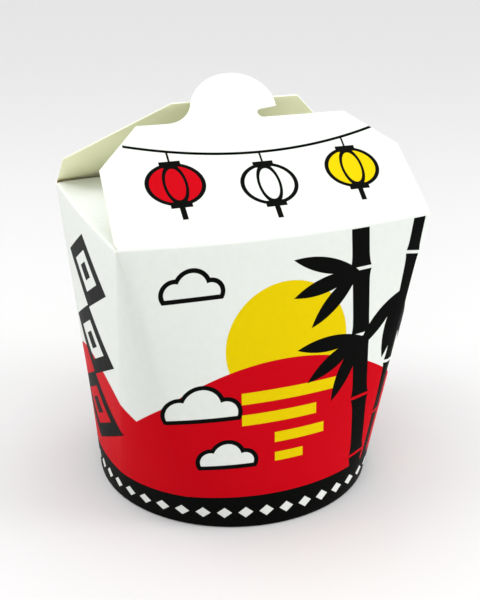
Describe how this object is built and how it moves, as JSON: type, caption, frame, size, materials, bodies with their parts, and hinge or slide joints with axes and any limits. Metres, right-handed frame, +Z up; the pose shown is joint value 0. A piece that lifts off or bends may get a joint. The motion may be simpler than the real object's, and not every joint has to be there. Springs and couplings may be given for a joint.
{
  "type": "kebab box",
  "caption": "Shut paperboard takeaway box: round foot, rectangular rim, and top flaps that lean together like a tent, the front one with a hooked tab.",
  "frame": {"origin": "middle of the round foot, on the surface that the box stands on", "axes": "+Z up, -Y towards the front with the tab's flap, +X to the right seen from the front"},
  "size_m": [0.1056, 0.099, 0.1411],
  "materials": {
    "carton": "satin"
  },
  "bodies": {
    "root": {"carton": "carton"}
  },
  "joints": []
}
